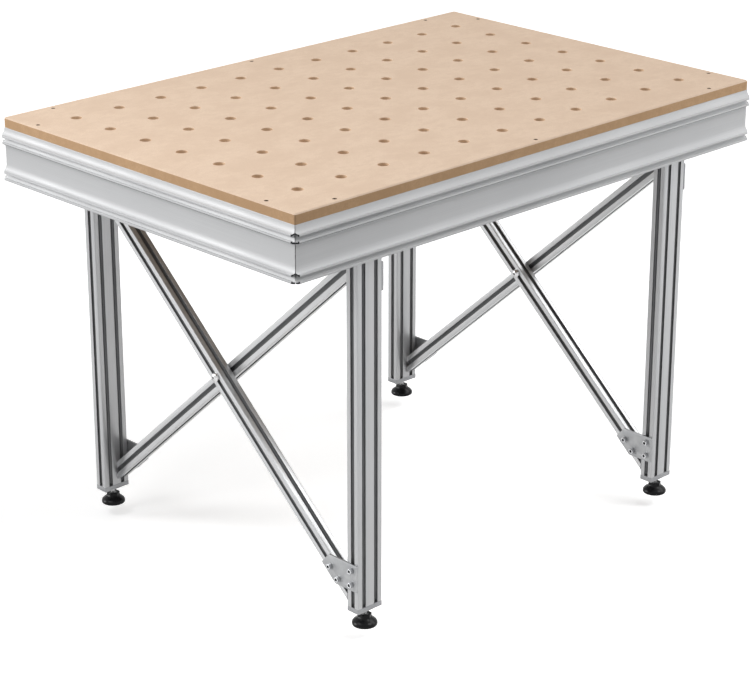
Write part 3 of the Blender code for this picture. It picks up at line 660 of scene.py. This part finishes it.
def thread(name, crest, root, turns, steps=24):
    """A screw thread about Z: one pitch of its profile, wound upwards."""
    profile = [(root, 0), (root, 0.17), (crest, 0.55), (crest, 0.70), (root, 1.08),
               (root, THREAD_PITCH)]
    bpy.ops.object.select_all(action="DESELECT")
    bpy.ops.mesh.primitive_circle_add(vertices=len(profile))
    piece = bpy.context.object
    piece.name = name
    bpy.ops.object.mode_set(mode="EDIT")
    shape = bmesh.from_edit_mesh(piece.data)
    shape.verts.ensure_lookup_table()
    for vert, (radius, height) in zip(shape.verts, profile):
        vert.co = (radius * MM, 0, height * MM)
    closing = shape.edges.get((shape.verts[0], shape.verts[-1]))
    bpy.ops.mesh.select_mode(type="EDGE")
    bpy.ops.mesh.select_all(action="DESELECT")
    closing.select_set(True)
    bmesh.update_edit_mesh(piece.data)
    bpy.ops.mesh.delete(type="EDGE")
    bpy.ops.object.mode_set(mode="OBJECT")
    bpy.ops.object.modifier_add(type="SCREW")
    winding = piece.modifiers[-1]
    winding.screw_offset = THREAD_PITCH * MM
    winding.iterations = turns
    winding.steps = steps
    winding.render_steps = steps
    bpy.ops.object.modifier_apply(modifier=winding.name)
    bpy.ops.object.mode_set(mode="EDIT")
    bpy.ops.mesh.select_mode(type="VERT")
    bpy.ops.mesh.select_all(action="SELECT")
    bpy.ops.mesh.remove_doubles(threshold=0.000005)
    bpy.ops.mesh.normals_make_consistent(inside=False)
    bpy.ops.object.mode_set(mode="OBJECT")
    return piece


steel_finish = zinc_finish("bright_steel", (0.74, 0.74, 0.74), (0.58, 0.58, 0.59), 0.18)
stud = thread("stud", STUD_CREST, STUD_ROOT, THREAD_TURNS)
stud = placed(stud, "stud", Matrix.Translation((0, 0, STUD_LOW - 1.7 * THREAD_PITCH * MM)))
sawn(stud, (0, 0, STUD_LOW), (0, 0, -1))
sawn(stud, (0, 0, STUD_HIGH), (0, 0, 1))
cut_by(stud, turned("tip", [(2.0, 0), (6.0, 0), (6.0, 72.2), (3.1, 74.7), (2.0, 74.7)], 32),
       "INTERSECT")
stud.data.materials.append(steel_finish)
shaded_by_angle(stud, math.radians(25))

nylon, nylon_shader = finish("black_nylon", 0.24, 0.0)
nylon_shader.inputs["Specular IOR Level"].default_value = 0.14
moulding = pattern(nylon, (1100, 1100, 1100), 2.0, 0.5)
scuffs = pattern(nylon, (90, 90, 160), 4.0, 0.6)
nylon.node_tree.links.new(blended(nylon, ranged(nylon, scuffs, 0.0, 1.0, 0.45, 0.75),
                                  (0.006, 0.006, 0.007), (0.010, 0.010, 0.011)),
                          nylon_shader.inputs["Base Color"])
nylon.node_tree.links.new(ranged(nylon, scuffs, 0.22, 0.28), nylon_shader.inputs["Roughness"])
bumped(nylon, nylon_shader, moulding, 0.10, 0.0001)
pad = turned("pad", [(18.0, 0.0), (20.8, 0.0), (21.8, 0.5), (22.35, 1.6), (22.5, 3.0),
                     (22.4, 4.4), (21.9, 5.9), (21.0, 7.3), (19.6, 8.8), (17.9, 10.2),
                     (16.1, 11.4), (14.5, 12.6), (13.5, 13.8), (12.9, HUB_START),
                     (12.5, 16.6), (12.5, 20.2), (12.2, 20.75), (11.6, 21.0), (5.0, 21.0),
                     (4.4, 20.6), (4.3, 20.0), (4.3, 5.0)], 48)
for vert in pad.data.vertices:
    radius = vert.co.xy.length / MM
    height = vert.co.z / MM
    if height > HUB_START - 2.0 and radius > 8.0:
        turn = (math.atan2(vert.co.x, vert.co.y) + 2 * math.pi) % (math.pi / 3) - math.pi / 6
        flat = min(1.0, HUB_FLAT / math.cos(turn))
        share = min(1.0, (height - HUB_START + 2.0) / 3.0)
        vert.co.x *= 1 + (flat - 1) * share
        vert.co.y *= 1 + (flat - 1) * share
pad.data.materials.append(nylon)
shaded_by_angle(pad, math.radians(40))
for corner, side_x, side_y in CORNERS:
    where = Matrix.Translation((side_x * LEG_X, side_y * LEG_Y, 0))
    piece = copy_of(stud, "threaded_stud_" + corner, where)
    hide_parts("foot_stud_" + corner)
    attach(piece, "stud_" + corner)
    piece = copy_of(pad, "nylon_pad_" + corner, where)
    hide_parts("foot_pad_" + corner)
    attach(piece, "pad_" + corner)
removed(stud, pad)

# Braces. Two single T-slot extrusions, 27 mm square, cross on each side between the front
# and rear legs. Their ends are sawn upright to butt on the legs.
BRACE_ANGLE = math.atan2(0.5962, 0.6674)
BRACE_SIZE = 27.0
BRACE_END = 0.3334
CROSSING_HEIGHT = 0.3665
BRACE_OFFSET = 0.0145
brace_finish = anodised_finish("brace_anodised", (0.64, 0.645, 0.65), (0.56, 0.565, 0.575),
                               0.36, 0.60)
half_run = BRACE_END / math.cos(BRACE_ANGLE)
lean = Vector((0, math.sin(BRACE_ANGLE), math.cos(BRACE_ANGLE)))
brace = bar("brace", [rounded(slotted(BRACE_SIZE, BRACE_SIZE, (0,), (0,))),
                      round_hole(0, 0, CORE_RADIUS)], -half_run - BAR_SPARE, half_run + BAR_SPARE)
for side in (-1, 1):
    sawn(brace, (0, 0, side * half_run), side * lean)
cut_by(brace, drill(4.5 * MM, 0.02, (0, 0, 0), (0, math.pi / 2, 0)))
mark_grain(brace)
brace.data.materials.append(brace_finish)
# Faces inside the slots get painted shade.
paint_slot_shade(brace, BRACE_SIZE, BRACE_SIZE)
shaded_by_angle(brace)
lay = Matrix.Rotation(BRACE_ANGLE - math.pi / 2, 4, "X")
sides = (("left", -LEG_X), ("right", LEG_X))
crossings = []
for side, side_x in sides:
    for run, half_turn in (("a", 0), ("b", math.pi)):
        crossing = Matrix.Translation((side_x, 0, CROSSING_HEIGHT))
        crossing = crossing @ Matrix.Rotation(half_turn, 4, "Z")
        crossings.append((side + "_" + run, crossing))
        piece = copy_of(brace, "slotted_brace_%s_%s" % (side, run),
                        crossing @ Matrix.Translation((-BRACE_OFFSET, 0, 0)) @ lay)
        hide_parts("brace_%s_%s" % (side, run))
        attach(piece, "bench")
removed(brace)

# Gussets. Flat 3 mm steel plates, punched with four holes and zinc plated, tie each brace end
# to its leg on the outer side.
GUSSET_FACE = 28.3
GUSSET_THICK = 3.0
GUSSET_CORNERS = [(-360.7, -292.0, 1.2), (-306.6, -292.0, 1.5), (-273.2, -262.1, 1.5),
                  (-291.2, -242.0, 1.5), (-360.7, -242.0, 1.2)]
LEG_PAIR = Vector((-347.2, -267.0))
BRACE_PAIR = Vector((-304.6, -272.1))
PAIR_HALF = 13.25
brace_line = Vector((math.cos(BRACE_ANGLE), math.sin(BRACE_ANGLE)))
gusset_holes = []
for centre, line in ((LEG_PAIR, Vector((0, 1))), (BRACE_PAIR, brace_line)):
    for side in (-1, 1):
        hole = centre + line * side * PAIR_HALF
        gusset_holes.append(round_hole(hole.x, hole.y, 3.2, 24))
gusset = bar("gusset", [rounded(GUSSET_CORNERS)] + gusset_holes, 0, GUSSET_THICK * MM)
bevelled(gusset, 0.25 * MM)
gusset.data.materials.append(fitting_zinc)
shaded_by_angle(gusset)
stand = Matrix(((0, 0, 1, -(GUSSET_FACE + GUSSET_THICK) * MM), (1, 0, 0, 0), (0, 1, 0, 0),
                (0, 0, 0, 1)))
ends = []
for label, crossing in crossings:
    for height, flip in (("low", 0), ("high", math.pi)):
        ends.append((label + "_" + height, crossing @ Matrix.Rotation(flip, 4, "X")))
for label, end in ends:
    piece = copy_of(gusset, "plate_gusset_" + label, end @ stand)
    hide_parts("gusset_" + label)
    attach(piece, "bench")
removed(gusset)

# Gusset screws. Each gusset has two M6 socket-head screws into the leg's slot and two into the
# brace's, pulling on a nut bar behind the slot's lips.
pair = screw_row("pair", (-PAIR_HALF, PAIR_HALF), 3.6, -2.3, 39.5, 12.9, 2.9)
facing = Matrix(((0, 0, -1, 0), (0, 1, 0, 0), (1, 0, 0, 0), (0, 0, 0, 1)))
on_leg = Matrix.Translation((-0.028, LEG_PAIR.x * MM, LEG_PAIR.y * MM)) @ facing
on_brace = Matrix.Translation((-0.028, BRACE_PAIR.x * MM, BRACE_PAIR.y * MM)) @ lay @ facing
for label, end in ends:
    for kind, seat in (("leg", on_leg), ("brace", on_brace)):
        piece = copy_of(pair, "cap_screws_%s_%s" % (kind, label), end @ seat)
        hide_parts("%s_screws_%s" % (kind, label))
        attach(piece, "bench")
removed(pair)

# Cross bolts. One M8 bolt with a domed head holds the two braces of a side where they cross,
# with a washer between them and a chamfered hexagon nut on the inside.
bolt = turned("bolt", [(3.0, -38.6), (4.0, -37.6), (4.0, -0.7), (8.5, -0.7), (8.5, 0.7),
                       (4.0, 0.7), (4.0, 28.3), (8.1, 28.3), (8.5, 28.6), (8.5, 29.6),
                       (8.2, 31.0), (7.3, 32.6), (6.0, 33.9), (4.6, 34.8), (3.2, 35.2)], 48)
cut_by(bolt, turned("socket", [(0.2, 31.2), (SOCKET_RADIUS, 32.0), (SOCKET_RADIUS, 40.0)], 6))
nut = turned("nut", [(7.5, -34.9), (7.5, -28.4)], 6)
cut_by(nut, turned("chamfer", [(6.4, -34.9), (7.7, -34.1), (7.7, -29.2), (6.4, -28.4)], 48),
       "INTERSECT")
bolt = joined("bolt", [bolt, nut])
bolt.data.materials.append(steel_finish)
shaded_by_angle(bolt)
for side, side_x in sides:
    where = Matrix.Translation((side_x, 0, CROSSING_HEIGHT))
    piece = copy_of(bolt, "domed_bolt_" + side,
                    where @ Matrix.Rotation(-math.pi / 2, 4, "Y"))
    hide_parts("cross_bolt_" + side)
    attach(piece, "bench")
removed(bolt)

# Board. An 18 mm MDF panel with a grid of 20 mm dog holes at 96 mm, drilled and lightly
# chamfered by machine. The sawn edges and hole walls are darker than the sanded faces.
BOARD_TOP = 0.793
BOARD_THICK = 0.018
HOLE_RADIUS = 10.0
HOLE_PITCH = 0.096
HOLES_ALONG = 11
HOLES_ACROSS = 7
SCREW_X = 0.472
SCREW_Y = 0.298
SCREW_INSET_X = 0.556
SCREW_INSET_Y = 0.366
CORNER_ROUND = 0.003
EDGE_CHAMFER = 0.002
HOLE_CHAMFER = 0.7


def mdf_finish(name, pale, deep, fleck, rough):
    """MDF: pressed wood fibre with fine flecks, soft clouds and a dusty matt surface."""
    made, shader = finish(name, rough, 0.0)
    shader.inputs["Specular IOR Level"].default_value = 0.25
    links = made.node_tree.links
    clouds = pattern(made, (13, 17, 13), 4.0, 0.6)
    smudges = pattern(made, (55, 85, 55), 4.0, 0.65)
    fibres = pattern(made, (420, 420, 420), 5.0, 0.7)
    flecks = pattern(made, (900, 1500, 900), 3.0, 0.6)
    tone = blended(made, ranged(made, fibres, 0.0, 1.0), pale, deep)
    clouded = blended(made, ranged(made, clouds, 0.0, 0.75, 0.42, 0.62), tone, deep)
    clouded = blended(made, ranged(made, smudges, 0.0, 0.65, 0.45, 0.65), clouded, deep)
    flecked = blended(made, ranged(made, flecks, 0.0, 0.55, 0.60, 0.74), clouded, fleck)
    links.new(flecked, shader.inputs["Base Color"])
    links.new(ranged(made, fibres, rough - 0.06, rough + 0.08), shader.inputs["Roughness"])
    nap = bumped(made, shader, fibres, 0.18, 0.0003)
    bumped(made, shader, flecks, 0.10, 0.0002, nap)
    return made


mdf_face = mdf_finish("mdf_sanded_face", (0.865, 0.682, 0.525), (0.735, 0.555, 0.415),
                      (0.52, 0.36, 0.25), 0.72)
mdf_edge = mdf_finish("mdf_sawn_edge", (0.66, 0.43, 0.25), (0.54, 0.34, 0.19),
                      (0.34, 0.20, 0.11), 0.85)
mdf_bore = mdf_finish("mdf_bored_wall", (0.80, 0.59, 0.40), (0.66, 0.46, 0.30),
                      (0.44, 0.29, 0.18), 0.80)
bpy.ops.object.select_all(action="DESELECT")
bpy.ops.mesh.primitive_cube_add(size=1.0, location=(0, 0, BOARD_TOP - BOARD_THICK / 2))
board = bpy.context.object
board.scale = (BOARD_LENGTH, BOARD_WIDTH, BOARD_THICK)
bpy.ops.object.transform_apply(location=True, rotation=True, scale=True)
bpy.ops.object.mode_set(mode="EDIT")
bpy.ops.mesh.select_mode(type="EDGE")
for offset, steps, standing in ((CORNER_ROUND, 4, True), (EDGE_CHAMFER, 1, False)):
    bpy.ops.mesh.select_all(action="DESELECT")
    shape = bmesh.from_edit_mesh(board.data)
    for edge in shape.edges:
        rise = abs(edge.verts[0].co.z - edge.verts[1].co.z)
        low = min(vert.co.z for vert in edge.verts)
        edge.select_set(rise > 0.01 if standing else low > BOARD_TOP - 0.0001)
    bmesh.update_edit_mesh(board.data)
    bpy.ops.mesh.bevel(offset=offset, segments=steps, affect="EDGES")
bpy.ops.mesh.select_mode(type="VERT")
bpy.ops.object.mode_set(mode="OBJECT")
holes = turned("dog_holes", [(HOLE_RADIUS, 760.0), (HOLE_RADIUS, 793.0 - HOLE_CHAMFER),
                             (HOLE_RADIUS + HOLE_CHAMFER, 793.0),
                             (HOLE_RADIUS + HOLE_CHAMFER + 7.0, 800.0)], 40)
for count, step in ((HOLES_ALONG, (HOLE_PITCH, 0, 0)), (HOLES_ACROSS, (0, HOLE_PITCH, 0))):
    bpy.ops.object.modifier_add(type="ARRAY")
    rows = holes.modifiers[-1]
    rows.use_relative_offset = False
    rows.use_constant_offset = True
    rows.constant_offset_displace = step
    rows.count = count
    bpy.ops.object.modifier_apply(modifier=rows.name)
holes = placed(holes, "dog_holes", Matrix.Translation((-HOLE_PITCH * (HOLES_ALONG - 1) / 2,
                                                       -HOLE_PITCH * (HOLES_ACROSS - 1) / 2, 0)))
cut_by(board, holes)
board_screws = [(x, side * SCREW_INSET_Y) for side in (-1, 1) for x in (-SCREW_X, 0, SCREW_X)]
board_screws += [(side * SCREW_INSET_X, y) for side in (-1, 1) for y in (-SCREW_Y, SCREW_Y)]
sink = turned("sink", [(2.25, 760.0), (2.25, 790.8), (4.0, 793.0), (11.0, 800.0)], 32)
sinks = joined("sinks", [copy_of(sink, "sink", Matrix.Translation((x, y, 0)))
                         for x, y in board_screws])
removed(sink)
cut_by(board, sinks)
board.name = "mdf_board"
board.data.materials.clear()
board.data.materials.append(mdf_face)
board.data.materials.append(mdf_edge)
board.data.materials.append(mdf_bore)
for face in board.data.polygons:
    inside = min(BOARD_LENGTH / 2 - abs(face.center.x), BOARD_WIDTH / 2 - abs(face.center.y))
    if abs(face.normal.z) < 0.3:
        face.material_index = 2 if inside > CORNER_ROUND + 0.001 else 1
shaded_by_angle(board)
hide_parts("top_board")
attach(board, "bench")

# Board screws. Ten countersunk screws, blacked steel with a hexagon socket, hold the board
# down to the rails; they sit just below its face.
black_steel, black_shader = finish("blacked_steel", 0.6, 0.0)
black_shader.inputs["Specular IOR Level"].default_value = 0.04
oil = pattern(black_steel, (500, 500, 500), 3.0, 0.6)
black_steel.node_tree.links.new(blended(black_steel, ranged(black_steel, oil, 0, 1),
                                        (0.045, 0.026, 0.013), (0.085, 0.050, 0.027)),
                                black_shader.inputs["Base Color"])
bumped(black_steel, black_shader, oil, 0.15, 0.0001)
screw = turned("screw", [(1.9, 776.0), (2.0, 790.6), (3.75, 792.6), (3.6, 792.75)], 32)
cut_by(screw, turned("socket", [(0.2, 790.9), (1.55, 791.2), (1.55, 800.0)], 6))
screw.data.materials.append(black_steel)
shaded_by_angle(screw)
for number, (x, y) in enumerate(board_screws):
    piece = copy_of(screw, "board_screw_%d" % (number + 1), Matrix.Translation((x, y, 0)))
    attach(piece, "bench")
removed(screw)

# Floor, light and camera. A white studio: a pale floor, low enough to hide no foot at its
# lowest, soft lights from the left, front and right, and a long lens on the front left corner.
FLOOR_DROP = 0.0255
FLOOR_TONE = 0.28
FLOOR_GLOW = 0.42
SKY_LEVEL = 0.22
SOFTBOX_SIZE = 1.0
CAMERA_PLACE = Vector((-2.9556, -3.0123, 1.9640))
CAMERA_LOOK = Vector((0.64989, 0.66850, -0.36159))
CAMERA_LENS = 115.6


def seen_rays(tree):
    """One for camera, glossy and transmission rays, nothing for rays that light the bench."""
    rays = tree.nodes.new("ShaderNodeLightPath")
    seen = rays.outputs["Is Camera Ray"]
    for kind in ("Is Glossy Ray", "Is Transmission Ray"):
        either = tree.nodes.new("ShaderNodeMath")
        either.operation = "MAXIMUM"
        tree.links.new(seen, either.inputs[0])
        tree.links.new(rays.outputs[kind], either.inputs[1])
        seen = either.outputs["Value"]
    return seen


bpy.ops.object.select_all(action="DESELECT")
bpy.ops.mesh.primitive_plane_add(size=80.0, location=(0, 0, -FLOOR_DROP))
floor = bpy.context.object
floor.name = "studio_floor"
floor_finish, floor_shader = finish("studio_white", 0.9, 0.0)
floor_shader.inputs["Specular IOR Level"].default_value = 0.0
floor_shader.inputs["Emission Color"].default_value = (1.0, 1.0, 1.0, 1.0)
floor_tree = floor_finish.node_tree
floor_seen = seen_rays(floor_tree)
floor_tree.links.new(blended(floor_finish, floor_seen, (FLOOR_TONE, FLOOR_TONE, FLOOR_TONE),
                             (1.0, 1.0, 1.0)), floor_shader.inputs["Base Color"])
glow = floor_tree.nodes.new("ShaderNodeMath")
glow.operation = "MULTIPLY"
glow.inputs[1].default_value = FLOOR_GLOW
floor_tree.links.new(floor_seen, glow.inputs[0])
floor_tree.links.new(glow.outputs["Value"], floor_shader.inputs["Emission Strength"])
floor.data.materials.append(floor_finish)

studio = bpy.data.worlds.new("studio")
bpy.context.scene.world = studio
studio.use_nodes = True
sky = studio.node_tree.nodes["Background"]
sky.inputs["Color"].default_value = (1.0, 1.0, 1.0, 1.0)
sky_level = studio.node_tree.nodes.new("ShaderNodeMapRange")
sky_level.inputs["To Min"].default_value = SKY_LEVEL
sky_level.inputs["To Max"].default_value = 1.0
studio.node_tree.links.new(seen_rays(studio.node_tree), sky_level.inputs["Value"])
studio.node_tree.links.new(sky_level.outputs["Result"], sky.inputs["Strength"])

for name, toward, level, spread in (("light_left_back", (-0.61, 0.68, 0.30), 1.78, 26),
                                    ("light_front", (0.25, -0.58, 0.80), 0.90, 24),
                                    ("light_right", (0.65, -0.284, 0.705), 0.55, 26)):
    bpy.ops.object.light_add(type="SUN")
    lamp = bpy.context.object
    lamp.name = name
    lamp.rotation_euler = Vector(toward).to_track_quat("Z", "Y").to_euler()
    lamp.data.energy = level
    lamp.data.angle = math.radians(spread)
for name, place, aim, watts in (("softbox_left", (-1.7, 0.3, 2.0), (-0.3, 0.0, 0.75), 12.5),
                                ("softbox_right", (1.7, -1.7, 1.0), (0.4, -0.3, 0.45), 9.5)):
    bpy.ops.object.light_add(type="AREA", location=place)
    lamp = bpy.context.object
    lamp.name = name
    lamp.rotation_euler = (Vector(place) - Vector(aim)).to_track_quat("Z", "Y").to_euler()
    lamp.data.energy = watts
    lamp.data.size = SOFTBOX_SIZE
    lamp.visible_camera = False

bpy.ops.object.camera_add(location=CAMERA_PLACE)
camera = bpy.context.object
camera.rotation_euler = CAMERA_LOOK.to_track_quat("-Z", "Y").to_euler()
camera.data.sensor_width = 36.0
camera.data.lens = CAMERA_LENS
camera.data.clip_end = 200.0
bpy.context.scene.camera = camera
bpy.context.scene.view_settings.view_transform = "Standard"
